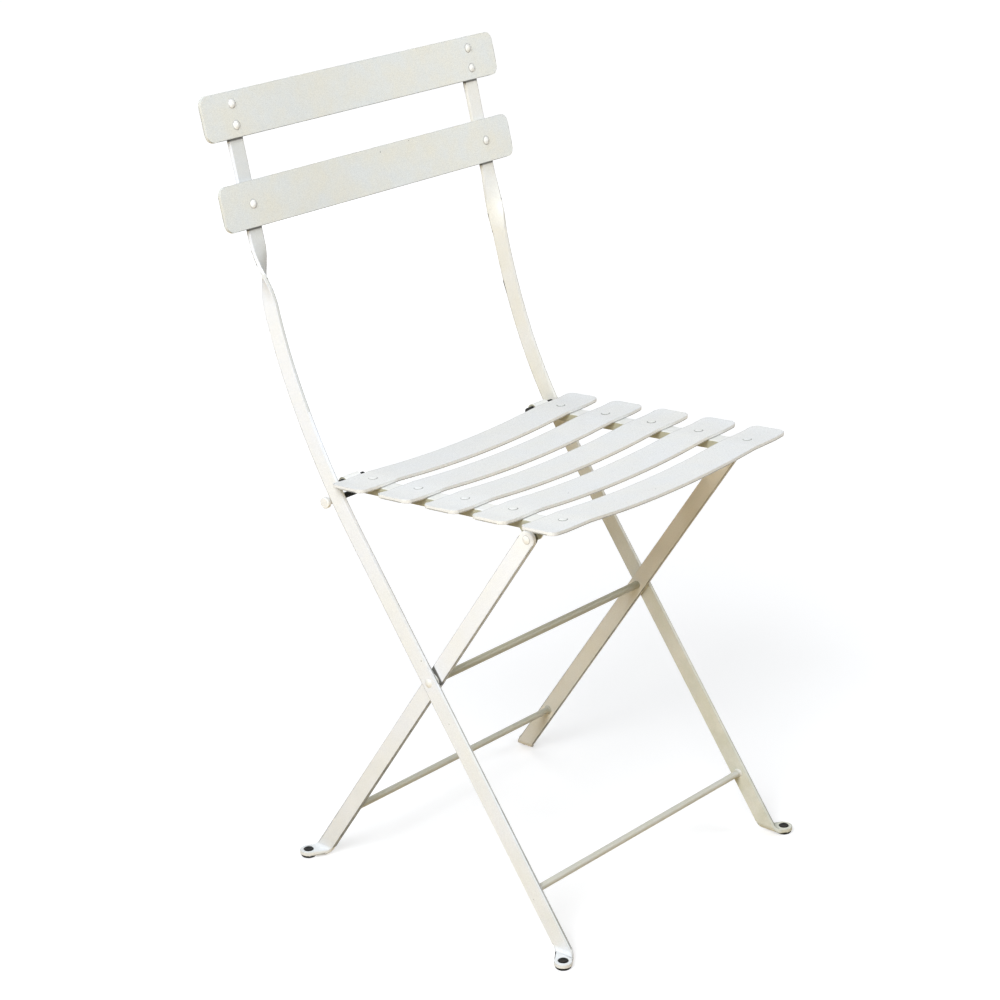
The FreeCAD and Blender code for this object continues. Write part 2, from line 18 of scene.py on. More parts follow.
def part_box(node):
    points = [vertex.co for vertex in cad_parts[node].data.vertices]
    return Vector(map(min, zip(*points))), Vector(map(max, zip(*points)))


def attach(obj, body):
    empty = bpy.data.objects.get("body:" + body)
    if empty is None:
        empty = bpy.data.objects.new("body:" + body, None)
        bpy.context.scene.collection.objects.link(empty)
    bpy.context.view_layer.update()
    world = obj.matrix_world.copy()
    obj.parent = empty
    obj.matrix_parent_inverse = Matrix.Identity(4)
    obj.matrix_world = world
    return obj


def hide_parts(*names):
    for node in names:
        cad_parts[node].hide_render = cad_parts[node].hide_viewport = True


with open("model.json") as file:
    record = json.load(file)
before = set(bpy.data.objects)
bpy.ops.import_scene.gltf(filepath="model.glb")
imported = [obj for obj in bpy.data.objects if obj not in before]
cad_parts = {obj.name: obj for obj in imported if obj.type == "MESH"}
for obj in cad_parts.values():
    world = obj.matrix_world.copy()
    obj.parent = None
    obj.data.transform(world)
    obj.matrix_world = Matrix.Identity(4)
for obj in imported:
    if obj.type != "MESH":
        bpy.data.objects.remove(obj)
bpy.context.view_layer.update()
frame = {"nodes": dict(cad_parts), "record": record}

nodes = frame["nodes"]

# %% [markdown]
# ## The camera first
#
# The photograph was taken from the front and the sitter's right, a little above the seat, with a
# long lens. The place and the lens below were solved from the chair's own straight edges. Making
# the camera first means that every later step can be looked at from the photograph's side.

# %% Camera at the photograph's viewpoint
camera_place = Vector((-1.9805, -1.6991, 1.3595))
camera_azimuth = math.radians(-48.992)
camera_drop = math.radians(20.572)
camera_roll = math.radians(-0.609)
picture_width = 1000
focal_pixels = 2744.97
sensor_width = 36.0

ahead = Vector((-math.sin(camera_azimuth) * math.cos(camera_drop),
                math.cos(camera_azimuth) * math.cos(camera_drop),
                -math.sin(camera_drop)))
right = Vector((math.cos(camera_azimuth), math.sin(camera_azimuth), 0))
up = right.cross(ahead)
turned_right = right * math.cos(camera_roll) + up * math.sin(camera_roll)
turned_up = up * math.cos(camera_roll) - right * math.sin(camera_roll)

lens = bpy.data.cameras.new("camera")
lens.sensor_width = sensor_width
lens.lens = sensor_width * focal_pixels / picture_width
lens.clip_end = 200
camera = bpy.data.objects.new("camera", lens)
bpy.context.scene.collection.objects.link(camera)
axes = Matrix((turned_right, turned_up, -ahead)).transposed()
camera.matrix_world = Matrix.Translation(camera_place) @ axes.to_4x4()
bpy.context.scene.camera = camera
print("lens", round(lens.lens, 2), "mm")

# %% [markdown]
# ## Helpers for meshes
#
# A imported node is a heap of loose triangles, right for measuring but too sharp for the eye. A copy
# of it is merged, its flat faces are joined again, and its sharp edges are bevelled by half a
# millimetre or so, which is the cheapest way to catch the thin bright lines that real steel shows.
# A thin dark line is also painted along most edges, partly as worn, thin paint and partly as painted
# shade, darkest on the edges that face away from the left lamp or face down. So the bevels, and narrow
# strips beside the far and lower edges, carry a mark that the paint reads. A weighted normal modifier
# keeps the big faces flat, where plain smooth shading makes them look swollen.

# %% Helper: finish a mesh as a riding piece
shade_angle = math.radians(38)
least_edge = 0.00001
strongest_weight = 100


def finish_piece(bm, name, body, stands_for):
    """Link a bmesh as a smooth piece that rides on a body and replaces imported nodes."""
    bmesh.ops.remove_doubles(bm, verts=bm.verts, dist=least_edge)
    bmesh.ops.dissolve_degenerate(bm, edges=bm.edges, dist=least_edge)
    for face in bm.faces:
        face.smooth = True
    for edge in bm.edges:
        edge.smooth = not edge.is_manifold or edge.calc_face_angle(0) < shade_angle
    mesh = bpy.data.meshes.new(name)
    bm.to_mesh(mesh)
    bm.free()
    piece = bpy.data.objects.new(name, mesh)
    bpy.context.scene.collection.objects.link(piece)
    flatten = piece.modifiers.new("flat faces stay flat", "WEIGHTED_NORMAL")
    flatten.keep_sharp = True
    flatten.weight = strongest_weight
    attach(piece, body)
    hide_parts(stands_for)
    print(name, len(mesh.polygons), "faces")
    return piece


# %% Helper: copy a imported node
merge_distance = 1e-6
flat_angle = math.radians(0.8)
bodies = frame["record"]["behaviour"]["bodies"]


def body_of(node):
    """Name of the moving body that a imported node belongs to."""
    return [body for body, members in bodies.items() if node in members][0]


def merged_copy(node):
    """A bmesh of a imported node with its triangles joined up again."""
    bm = bmesh.new()
    bm.from_mesh(nodes[node].data)
    bmesh.ops.remove_doubles(bm, verts=bm.verts, dist=merge_distance)
    bmesh.ops.dissolve_limit(bm, angle_limit=flat_angle, verts=bm.verts, edges=bm.edges)
    return bm


# %% Helper: round the edges of a copy and mark them
sharp_angle = math.radians(40)
# Edges are darkened by the way they face, as wear and painted shade: most where they turn from the
# left lamp or face down, less where they face the rear.
away_limit = 0.3
shadow_side_mark = 1.0
rear_mark = 0.5
open_mark = 0.15
strip_width = 0.0011
shortest_strip = 0.003


def sharp_edges(bm):
    """The convex edges of a bmesh that are sharp enough to need a round."""
    return [edge for edge in bm.edges
            if edge.is_manifold and edge.is_convex and edge.calc_face_angle(0) > sharp_angle]


def shade_grade_of(way):
    """How strongly an edge that looks this way is darkened, as wear and painted shade: the far and
    lower ones most.
    """
    if way.x > away_limit or way.z < -away_limit:
        return shadow_side_mark
    return rear_mark if way.y > away_limit else open_mark


def split_strips(bm, marks, grade):
    """Split narrow strips off the faces beside some edges, without a change of shape."""
    edges = [edge for edge in sharp_edges(bm) if edge.calc_length() > shortest_strip
             and shade_grade_of(sum((face.normal for face in edge.link_faces), Vector())) == grade]
    made = bmesh.ops.bevel(bm, geom=edges, offset=strip_width, offset_type="OFFSET", segments=2,
                           profile=1.0, affect="EDGES", material=-1, clamp_overlap=False)
    for face in made["faces"]:
        face[marks] = grade


def rounded_copy(node, radius, reshape=None, shaded_faces=None, strips=True):
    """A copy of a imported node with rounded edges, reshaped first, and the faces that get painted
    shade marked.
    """
    bm = merged_copy(node)
    if reshape:
        reshape(bm)
    marks = bm.faces.layers.float.new("edge_wear_and_shade")
    painted_shade = bm.faces.layers.float.new("painted_shade")
    for face in bm.faces:
        face[painted_shade] = shaded_faces(face) if shaded_faces else 0.0
    if strips:
        split_strips(bm, marks, shadow_side_mark)
        split_strips(bm, marks, rear_mark)
    made = bmesh.ops.bevel(bm, geom=sharp_edges(bm), offset=radius, offset_type="OFFSET",
                           segments=3, profile=0.5, affect="EDGES", material=-1,
                           clamp_overlap=False)
    for face in made["faces"]:
        face[marks] = shade_grade_of(face.normal)
        face[painted_shade] = 0.0
    return finish_piece(bm, "painted_" + node, body_of(node), node)


# %% Helper: measuring places and faces
across = Vector((1, 0, 0))
same_way = 0.7


def middle_of(places):
    """The average of some places."""
    return sum(places, Vector()) / len(places)


def reach_of(places, way):
    """Lowest and highest distance of some places along a way."""
    along = [place.dot(way) for place in places]
    return min(along), max(along)


def face_way(node, guess):
    """Normal of the largest face of a node that looks the guessed way."""
    bm = merged_copy(node)
    facing = [face for face in bm.faces if face.normal.dot(guess) > same_way]
    way = max(facing, key=lambda face: face.calc_area()).normal.copy()
    bm.free()
    return way


back_way = face_way("top_back_slat", Vector((0, -1, 0)))
seat_way = face_way("left_seat_rail", Vector((0, 0, 1)))
seat_front = across.cross(seat_way)
print("back leans", round(math.degrees(math.asin(back_way.z)), 2), "degrees")
print("seat tilts", round(math.degrees(math.acos(seat_way.z)), 2), "degrees")

# %% [markdown]
# ## Bars, slats and rails
#
# Legs are hot rolled flat bar, slats are cut from strip and the rails are folded from sheet. Hot
# rolled bar has the softest edges and thin sheet the sharpest, so each family gets its own radius.
# The frame already gives their exact shapes: the quarter twist, the dish and the hooks. Two small
# things follow the photograph instead: the seat's slats are a little wider and less hollow, and
# the front ends of the rails are sheared off below, so that no corner shows under the front slat.

# %% Helper: shape of the seat's slats and of the rail ends
rail_low, rail_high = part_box("left_seat_rail")
slat_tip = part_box("seat_slat_5")[1][0]
slat_widening = 0.0375
middle_lift = 0.0022
tip_lift = 0.001
tip_stretch = 0.0015


def shape_slat(bm):
    """Widen a seat slat, fill its hollow a little and carry its tips out and up."""
    low, high = reach_of([vertex.co for vertex in bm.verts], seat_front)
    for vertex in bm.verts:
        side = abs(vertex.co.x)
        hollow = max(0, 1 - (side / rail_low.x) ** 2)
        tip = max(0, (side - rail_high.x) / (slat_tip - rail_high.x))
        off = vertex.co.dot(seat_front) - (low + high) / 2
        vertex.co += seat_front * off * slat_widening
        vertex.co += seat_way * (middle_lift * hollow + tip_lift * tip)
        vertex.co.x += math.copysign(tip_stretch * tip, vertex.co.x)


# %% Helper: shearing the rail ends
shears = ((28, 0.0009, 0.0), (64, 0.008, -0.0004))


def shear_end(bm):
    """Cut the lower front corner of a rail, each cut at an angle and starting ahead of its top."""
    places = [vertex.co for vertex in bm.verts]
    front = reach_of(places, seat_front)[1]
    top = reach_of(places, seat_way)[1]
    for degrees, start, shift in shears:
        angle = math.radians(degrees)
        out = seat_front * math.cos(angle) - seat_way * math.sin(angle)
        corner = seat_front * (front + start) + seat_way * top
        everything = bm.verts[:] + bm.edges[:] + bm.faces[:]
        cut = bmesh.ops.bisect_plane(bm, geom=everything, plane_co=corner + out * shift,
                                     plane_no=out, clear_outer=True)
        rim = [item for item in cut["geom_cut"] if isinstance(item, bmesh.types.BMEdge)]
        bmesh.ops.holes_fill(bm, edges=rim, sides=0)
    print("sheared end,", len([edge for edge in bm.edges if not edge.is_manifold]), "open edges")


# %% Helper: faces that get painted shade
stile_start = 0.5
stile_front = -0.6
stile_shade = 0.42
rail_side_shade = 1.0


def shaded_stile_front(face):
    """Painted shade on the front of the right stile, which the slats shade."""
    shaded = face.normal.y < stile_front and face.calc_center_median().z > stile_start
    return stile_shade if shaded else 0.0


def rail_sides(face):
    """Painted shade on the sides of a rail, under the slats that overhang it."""
    return rail_side_shade if abs(face.normal.x) > same_way else 0.0


# %% Bars, slats and rails from the frame
bar_edge = 0.0008
slat_edge = 0.0006
sheet_edge = 0.0003
bars = ["left_long_leg", "right_long_leg", "left_short_leg", "right_short_leg"]
back_slats = ["top_back_slat", "lower_back_slat"]
seat_slats = ["seat_slat_%d" % number for number in range(1, 6)]
rails = ["left_seat_rail", "right_seat_rail"]
bar_pieces = [rounded_copy(node, bar_edge, None, shaded_stile_front if node == "right_long_leg" else None)
              for node in bars]
back_pieces = [rounded_copy(node, slat_edge) for node in back_slats]
seat_pieces = [rounded_copy(node, slat_edge, shape_slat) for node in seat_slats]
rail_pieces = [rounded_copy(node, sheet_edge, shear_end, rail_sides, False) for node in rails]

# %% [markdown]
# ## Helpers for turned pieces
#
# Rods, rivets, pins, sleeves and glides are all round. They could be cylinders with bevels, but
# each is quicker to read as half a profile, given as radii and distances along its axis, that is
# spun once round. The frame says where each one is: the corners of every separate solid of a node
# average to a point on its axis, and its ends are the furthest of those corners.

# %% Helper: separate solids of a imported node
def solids_of(node):
    """The corners of each separate solid of a node, as lists of places."""
    bm = merged_copy(node)
    met = set()
    found = []
    for start in bm.verts:
        if start in met:
            continue
        met.add(start)
        reached = [start]
        for vertex in reached:
            for edge in vertex.link_edges:
                other = edge.other_vert(vertex)
                if other not in met:
                    met.add(other)
                    reached.append(other)
        found.append([vertex.co.copy() for vertex in reached])
    bm.free()
    return found


# %% Helper: spin a profile
round_steps = 48
beyond_all = 1.0


def add_turned(bm, profile, place, way, edge=0.0, shaded_beyond=beyond_all):
    """Spin a profile of (radius, distance) pairs, with painted shade beyond a radius, and add it."""
    piece = bmesh.new()
    marks = piece.faces.layers.float.new("edge_wear_and_shade")
    points = [piece.verts.new((radius, 0, along)) for radius, along in profile]
    edges = [piece.edges.new(pair) for pair in zip(points, points[1:])]
    bmesh.ops.spin(piece, geom=points + edges, cent=(0, 0, 0), axis=(0, 0, 1), angle=math.tau,
                   steps=round_steps, use_merge=True, use_duplicate=False)
    bmesh.ops.remove_doubles(piece, verts=piece.verts, dist=merge_distance)
    bmesh.ops.recalc_face_normals(piece, faces=piece.faces)
    if edge:
        bmesh.ops.bevel(piece, geom=sharp_edges(piece), offset=edge, offset_type="OFFSET",
                        segments=3, profile=0.5, affect="EDGES", material=-1, clamp_overlap=True)
    for face in piece.faces:
        middle = face.calc_center_median()
        face[marks] = 1.0 if math.hypot(middle.x, middle.y) > shaded_beyond else 0.0
    turn = way.to_track_quat("Z", "Y").to_matrix().to_4x4()
    bmesh.ops.transform(piece, matrix=Matrix.Translation(place) @ turn, verts=piece.verts)
    holder = bpy.data.meshes.new("turned")
    piece.to_mesh(holder)
    piece.free()
    bm.from_mesh(holder)
    bpy.data.meshes.remove(holder)


# %% Helper: domes and pieces that lie across the chair
dome_steps = 7
between_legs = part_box("left_short_leg")[0][0]


def dome(radius, height, base):
    """Profile of a domed end, from its rim to its top, above a base distance."""
    ball = (radius ** 2 + height ** 2) / (2 * height)
    opening = math.asin(min(radius / ball, 1))
    angles = [opening * (1 - step / dome_steps) for step in range(dome_steps + 1)]
    return [(ball * math.sin(a), base + height - ball * (1 - math.cos(a))) for a in angles]


def turned_across(node, prefix, profile_of, edge=0.0, middle_shade=0.0, shaded_beyond=beyond_all):
    """Turn each solid of a node that lies across the chair; distances run from the middle out, and the
    faces between the legs get painted shade.
    """
    bm = bmesh.new()
    for places in solids_of(node):
        middle = middle_of(places)
        way = across if middle.x > -merge_distance else -across
        low, high = reach_of(places, way)
        foot = Vector((0, middle.y, middle.z))
        add_turned(bm, profile_of(low, high), foot, way, edge, shaded_beyond)
    painted_shade = bm.faces.layers.float.new("painted_shade")
    for face in bm.faces:
        face[painted_shade] = middle_shade if abs(face.calc_center_median().x) < between_legs else 0.0
    return finish_piece(bm, prefix + node, body_of(node), node)


# %% [markdown]
# ## Rivets of the slats
#
# A round head rivet is hammered over a domed set, so its head is a clean dome, and paint gathers in
# a small ring round it. The tail behind is lower. The seat's rivets are set almost flat, so that
# nobody feels them.

# %% Helper: one family of rivets
tail_radius = 0.0042
tail_height = 0.0011
shank_radius = 0.0025
paint_ring = 0.0004
# The ring and the outer rim of each rivet head, beyond this share of its radius, get the painted shade
# round the head.
unshaded_share = 0.93


def rivets(node, way, head_radius, head_height, grip):
    """All rivets of a node as one piece, from their packed heads."""
    tail = [(radius, -grip - rise) for radius, rise in dome(tail_radius, tail_height, 0)]
    ring = [(head_radius + paint_ring, 0), (head_radius, paint_ring / 2)]
    profile = list(reversed(tail)) + [(shank_radius, -grip), (shank_radius, 0)]
    profile += ring + dome(head_radius, head_height, paint_ring / 2)[1:]
    bm = bmesh.new()
    for places in solids_of(node):
        middle = middle_of(places)
        base = middle + way * (reach_of(places, way)[0] - middle.dot(way))
        add_turned(bm, profile, base, way, 0.0, head_radius * unshaded_share)
    return finish_piece(bm, "set_" + node, body_of(node), node)


# %% Rivets of the back and the seat
bar_thick = 0.0045
slat_thick = 0.004
rail_plate = 0.002
back_grip = slat_thick + bar_thick
seat_grip = slat_thick + rail_plate
rivet_radius = 0.0046
back_height = 0.0021
seat_height = 0.0010
rivet_pieces = [rivets("top_slat_rivets", back_way, rivet_radius, back_height, back_grip),
                rivets("lower_slat_rivets", back_way, rivet_radius, back_height, back_grip),
                rivets("seat_slat_rivets", seat_way, rivet_radius, seat_height, seat_grip)]

# %% [markdown]
# ## Cross rods and the fold pivot
#
# The front and rear rods are welded between the legs, and a weld shows as a small ring that swells
# towards the leg. The middle rod turns: its ends are thinner, pass through both legs and are
# riveted over outside. A washer stands between the two legs, so that the paint doesn't rub off.

# %% Welded rods
rod_radius = 0.0036
weld_radius = 0.0049
weld_length = 0.0012
# The middles of the rods, under the seat, get painted shade; their ends outside the legs stay light.
front_rod_shade = 0.5
rear_rod_shade = 0.7
pivot_rod_shade = 0.9


def welded_rod(low, high):
    """A rod with a swelling weld at each end."""
    neck = weld_length * 2
    swell = (rod_radius + weld_radius) / 2
    start = [(0, low), (weld_radius, low), (swell, low + weld_length), (rod_radius, low + neck)]
    return start + [(radius, high + low - along) for radius, along in reversed(start)]


rod_pieces = [turned_across(node, "welded_", welded_rod, 0.0, middle_shade)
              for node, middle_shade in (("front_cross_rod", front_rod_shade), ("rear_cross_rod", rear_rod_shade))]

# %% Pivot rod with riveted ends
running_gap = 0.0003
shoulder = between_legs - running_gap


def pivot_profile(low, high):
    """A rod whose thinner ends are riveted over outside the legs."""
    journal, rod, head, height = 0.0032, 0.004, 0.0046, 0.0018
    face = high - height
    start = [(radius, -along) for radius, along in dome(head, height, face)]
    start = list(reversed(start)) + [(journal, -face), (journal, -shoulder), (rod, -shoulder)]
    return start + [(radius, -along) for radius, along in reversed(start)]


rod_pieces.append(turned_across("pivot_rod", "riveted_", pivot_profile, 0.0,
                                pivot_rod_shade))

# %% Washers of the fold pivot
washer_edge = 0.0003


def pivot_washer(low, high):
    """A plain ring that fills the gap between the legs."""
    outer, hole = 0.0085, 0.0032
    return [(hole, low), (outer, low), (outer, high), (hole, high), (hole, low)]


rod_pieces.append(turned_across("pivot_washers", "pressed_", pivot_washer,
                                washer_edge))

# %% [markdown]
# ## Seat hinges
#
# A rivet with a low dome holds each seat rail to the round top of a short leg. In the photograph
# two thin washers show between them, as two bright rims with a dark line. The frame gives one
# spacer there, and here it is turned as two washers that touch it at both ends.

# %% Hinge rivets and washers
# Beyond this radius the domes of the hinge rivets get painted shade.
unshaded_radius = 0.0042


def hinge_rivet(low, high):
    """A shank with a low dome at each end."""
    shank, head, height = 0.003, 0.0046, 0.0015
    inner, outer = low + height, high - height
    start = [(radius, 2 * inner - along) for radius, along in dome(head, height, inner)]
    return list(reversed(start)) + [(shank, inner), (shank, outer)] + dome(head, height, outer)


def hinge_washers(low, high):
    """Two thin rings with a fine groove between them."""
    outer, hole, line = 0.0074, 0.003, 0.0002
    middle = (low + high) / 2
    first = [(hole, low), (outer, low), (outer, middle - line), (hole + line, middle - line)]
    second = [(hole + line, middle + line), (outer, middle + line), (outer, high), (hole, high)]
    return first + second + [(hole, low)]


hinge_pieces = [turned_across("seat_hinge_rivets", "domed_", hinge_rivet,
                              shaded_beyond=unshaded_radius),
                turned_across("seat_hinge_washers", "paired_", hinge_washers,
                              washer_edge)]

# %% [markdown]
# ## Guide pins, pegs and their sleeves
#
# Behind each long leg runs a guide pin with a round head, and the seat rail hooks over a peg. Both
# end inside the rail in black plastic sleeves, which stop the steel from rattling. The sleeves
# have thin walls, so their ends are rounded a little less than the turned heads of the pins.

# %% Guide pins
rail_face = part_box("left_seat_rail")[1][0]
pin_edge = 0.001


def guide_pin(low, high):
    """A pin with a collar outside the rail and a round head behind the leg."""
    pin, collar, head = 0.002, 0.0034, 0.0058
    head_start = high - bar_thick
    return [(0, low), (pin, low), (pin, rail_face), (collar, rail_face), (collar, head_start),
            (head, head_start), (head, high), (0, high)]


hinge_pieces.append(turned_across("guide_pins", "turned_", guide_pin, pin_edge))

# %% Pegs and sleeves
peg_radius = 0.0024
peg_edge = 0.0004
peg_sleeve_radius = 0.0039
peg_sleeve_edge = 0.0007
pin_sleeve_radius = 0.003
pin_sleeve_bore = 0.002
pin_sleeve_edge = 0.0004
sleeve_end = 0.0039


def peg(low, high):
    """A plain round peg."""
    return [(0, low), (peg_radius, low), (peg_radius, high), (0, high)]


def sleeve_of(radius, bore):
    """The profile of a sleeve that is closed at its inner end."""
    def profile(low, high):
        wall = low + sleeve_end
        return [(0, low), (radius, low), (radius, high), (bore, high), (bore, wall), (0, wall)]
    return profile


hinge_pieces.append(turned_across("rest_pegs", "turned_", peg, peg_edge))
plastic_pieces = [turned_across("rest_peg_sleeves", "moulded_",
                                sleeve_of(peg_sleeve_radius, peg_radius), peg_sleeve_edge),
                  turned_across("guide_pin_sleeves", "moulded_",
                                sleeve_of(pin_sleeve_radius, pin_sleeve_bore), pin_sleeve_edge)]

# %% [markdown]
# ## Glides
#
# Each foot stands on a moulded glide that is pushed up through a hole in its tab, so a dark disc
# shows on top. Its lower rim is bevelled and its plug has a shallow dimple from the mould.

# %% Glides
glide_edge = 0.0002


def glides(node):
    """A round foot with a plug above it, whose top has a shallow dimple."""
    foot, plug, top, under = 0.008, 0.005, 0.0084, 0.003
    profile = [(0, 0), (foot - 0.001, 0), (foot, 0.001), (foot, under), (plug, under),
               (plug, top - 0.0005), (plug - 0.0007, top), (plug - 0.0018, top - 0.0002),
               (plug - 0.0024, top - 0.0006), (0, top - 0.0007)]
    bm = bmesh.new()
    for places in solids_of(node):
        middle = middle_of(places)
        add_turned(bm, profile, Vector((middle.x, middle.y, 0)), Vector((0, 0, 1)), glide_edge)
    return finish_piece(bm, "moulded_" + node, body_of(node), node)


plastic_pieces += [glides("front_glides"), glides("rear_glides")]

# %% [markdown]
# ## Effects for the finishes
#
# Powder coat is satin with a very fine orange peel, and its cream is not even: cool and warm clouds
# pass over it, it is thin and worn along edges, and it is flecked. Painted shade is laid over it as
# well: on the edges that face away from the light, on faces under the slats and the seat, in thin
# shadow lines, and in a darkening towards the ground that is partly dust. Each effect is a shader node
# group, built once and placed in every finish with its own values. They read Object coordinates, so
# the pattern sits still on the steel from any side.

# %% Helper: building node groups
def new_group(name, inputs, outputs):
    """An empty shader node group with named inputs and outputs."""
    group = bpy.data.node_groups.new(name, "ShaderNodeTree")
    for label, kind, default in inputs:
        socket = group.interface.new_socket(label, in_out="INPUT", socket_type=kind)
        if default is not None:
            socket.default_value = default
    for label, kind in outputs:
        group.interface.new_socket(label, in_out="OUTPUT", socket_type=kind)
    return group, group.nodes.new("NodeGroupInput"), group.nodes.new("NodeGroupOutput")


def add_node(tree, kind, values=None, **settings):
    """Add a node, give its settings, and set the values of its named sockets."""
    node = tree.nodes.new(kind)
    for key, value in settings.items():
        setattr(node, key, value)
    for socket, value in (values or {}).items():
        node.inputs[socket].default_value = value
    return node


value, colour, vector = "NodeSocketFloat", "NodeSocketColor", "NodeSocketVector"

# %% Effect: clouds of cool and warm paint
clouds, given, out = new_group(
    "paint clouds",
    [("Vector", vector, None), ("Cool", colour, None), ("Warm", colour, None),
     ("Scale", value, 14.0), ("Contrast", value, 1.0)],
    [("Color", colour)])
noise = add_node(clouds, "ShaderNodeTexNoise", {"Detail": 7.0, "Roughness": 0.62})
spread = add_node(clouds, "ShaderNodeMapRange", {"From Min": 0.36, "From Max": 0.64})
amount = add_node(clouds, "ShaderNodeMath", operation="MULTIPLY")
mix = add_node(clouds, "ShaderNodeMix", data_type="RGBA")
clouds.links.new(given.outputs["Vector"], noise.inputs["Vector"])
clouds.links.new(given.outputs["Scale"], noise.inputs["Scale"])
clouds.links.new(noise.outputs["Fac"], spread.inputs["Value"])
clouds.links.new(spread.outputs["Result"], amount.inputs[0])
clouds.links.new(given.outputs["Contrast"], amount.inputs[1])
clouds.links.new(amount.outputs[0], mix.inputs["Factor"])
clouds.links.new(given.outputs["Cool"], mix.inputs["A"])
clouds.links.new(given.outputs["Warm"], mix.inputs["B"])
clouds.links.new(mix.outputs["Result"], out.inputs["Color"])
print(clouds.name, len(clouds.nodes), "nodes")

# %% Effect: orange peel and fine grain
peel, given, out = new_group(
    "orange peel",
    [("Vector", vector, None), ("Peel scale", value, 420.0), ("Grain scale", value, 1100.0),
     ("Grain share", value, 0.3)],
    [("Height", value), ("Grain", value)])
skin = add_node(peel, "ShaderNodeTexNoise", {"Detail": 2.0, "Roughness": 0.45})
grain = add_node(peel, "ShaderNodeTexNoise", {"Detail": 3.0, "Roughness": 0.7})
share = add_node(peel, "ShaderNodeMath", operation="MULTIPLY")
total = add_node(peel, "ShaderNodeMath", operation="ADD")
for texture, scale in ((skin, "Peel scale"), (grain, "Grain scale")):
    peel.links.new(given.outputs["Vector"], texture.inputs["Vector"])
    peel.links.new(given.outputs[scale], texture.inputs["Scale"])
peel.links.new(grain.outputs["Fac"], share.inputs[0])
peel.links.new(given.outputs["Grain share"], share.inputs[1])
peel.links.new(skin.outputs["Fac"], total.inputs[0])
peel.links.new(share.outputs[0], total.inputs[1])
peel.links.new(total.outputs[0], out.inputs["Height"])
peel.links.new(grain.outputs["Fac"], out.inputs["Grain"])
print(peel.name, len(peel.nodes), "nodes")

# %% Effect: worn and shaded edges
worn_and_shaded, given, out = new_group(
    "worn edges",
    [("Vector", vector, None), ("Edge", value, 0.0), ("Scale", value, 60.0),
     ("Least", value, 0.7), ("Most", value, 1.0)],
    [("Mask", value)])
noise = add_node(worn_and_shaded, "ShaderNodeTexNoise", {"Detail": 4.0, "Roughness": 0.7})
spread = add_node(worn_and_shaded, "ShaderNodeMapRange", {"From Min": 0.4, "From Max": 0.62})
mask = add_node(worn_and_shaded, "ShaderNodeMath", operation="MULTIPLY")
worn_and_shaded.links.new(given.outputs["Vector"], noise.inputs["Vector"])
worn_and_shaded.links.new(given.outputs["Scale"], noise.inputs["Scale"])
worn_and_shaded.links.new(noise.outputs["Fac"], spread.inputs["Value"])
worn_and_shaded.links.new(given.outputs["Least"], spread.inputs["To Min"])
worn_and_shaded.links.new(given.outputs["Most"], spread.inputs["To Max"])
worn_and_shaded.links.new(spread.outputs["Result"], mask.inputs[0])
worn_and_shaded.links.new(given.outputs["Edge"], mask.inputs[1])
worn_and_shaded.links.new(mask.outputs[0], out.inputs["Mask"])
print(worn_and_shaded.name, len(worn_and_shaded.nodes), "nodes")

# %% Effect: small chips and flecks
flecks, given, out = new_group(
    "paint flecks",
    [("Vector", vector, None), ("Scale", value, 70.0), ("Size", value, 0.05), ("Rarity", value, 0.9)],
    [("Mask", value)])
cells = add_node(flecks, "ShaderNodeTexVoronoi", feature="F1")
small = add_node(flecks, "ShaderNodeMath", operation="LESS_THAN")
single = add_node(flecks, "ShaderNodeSeparateColor")
rare = add_node(flecks, "ShaderNodeMath", operation="GREATER_THAN")
both = add_node(flecks, "ShaderNodeMath", operation="MULTIPLY")
flecks.links.new(given.outputs["Vector"], cells.inputs["Vector"])
flecks.links.new(given.outputs["Scale"], cells.inputs["Scale"])
flecks.links.new(cells.outputs["Distance"], small.inputs[0])
flecks.links.new(given.outputs["Size"], small.inputs[1])
flecks.links.new(cells.outputs["Color"], single.inputs["Color"])
flecks.links.new(single.outputs["Red"], rare.inputs[0])
flecks.links.new(given.outputs["Rarity"], rare.inputs[1])
flecks.links.new(small.outputs[0], both.inputs[0])
flecks.links.new(rare.outputs[0], both.inputs[1])
flecks.links.new(both.outputs[0], out.inputs["Mask"])
print(flecks.name, len(flecks.nodes), "nodes")

# %% Effect: a band of painted shade across the chair
painted_shadow, given, out = new_group(
    "dirt line",
    [("Vector", vector, None), ("Way", vector, (0, 0, 1)), ("Place", value, 0.0),
     ("Width", value, 0.001)],
    [("Mask", value)])
along = add_node(painted_shadow, "ShaderNodeVectorMath", operation="DOT_PRODUCT")
offset = add_node(painted_shadow, "ShaderNodeMath", operation="SUBTRACT")
distance = add_node(painted_shadow, "ShaderNodeMath", operation="ABSOLUTE")
reach = add_node(painted_shadow, "ShaderNodeMath", operation="DIVIDE")
fade = add_node(painted_shadow, "ShaderNodeMapRange", {"From Min": 0.6, "From Max": 1.0, "To Min": 1.0,
                                             "To Max": 0.0})
painted_shadow.links.new(given.outputs["Vector"], along.inputs[0])
painted_shadow.links.new(given.outputs["Way"], along.inputs[1])
painted_shadow.links.new(along.outputs["Value"], offset.inputs[0])
painted_shadow.links.new(given.outputs["Place"], offset.inputs[1])
painted_shadow.links.new(offset.outputs[0], distance.inputs[0])
painted_shadow.links.new(distance.outputs[0], reach.inputs[0])
painted_shadow.links.new(given.outputs["Width"], reach.inputs[1])
painted_shadow.links.new(reach.outputs[0], fade.inputs["Value"])
painted_shadow.links.new(fade.outputs["Result"], out.inputs["Mask"])
print(painted_shadow.name, len(painted_shadow.nodes), "nodes")

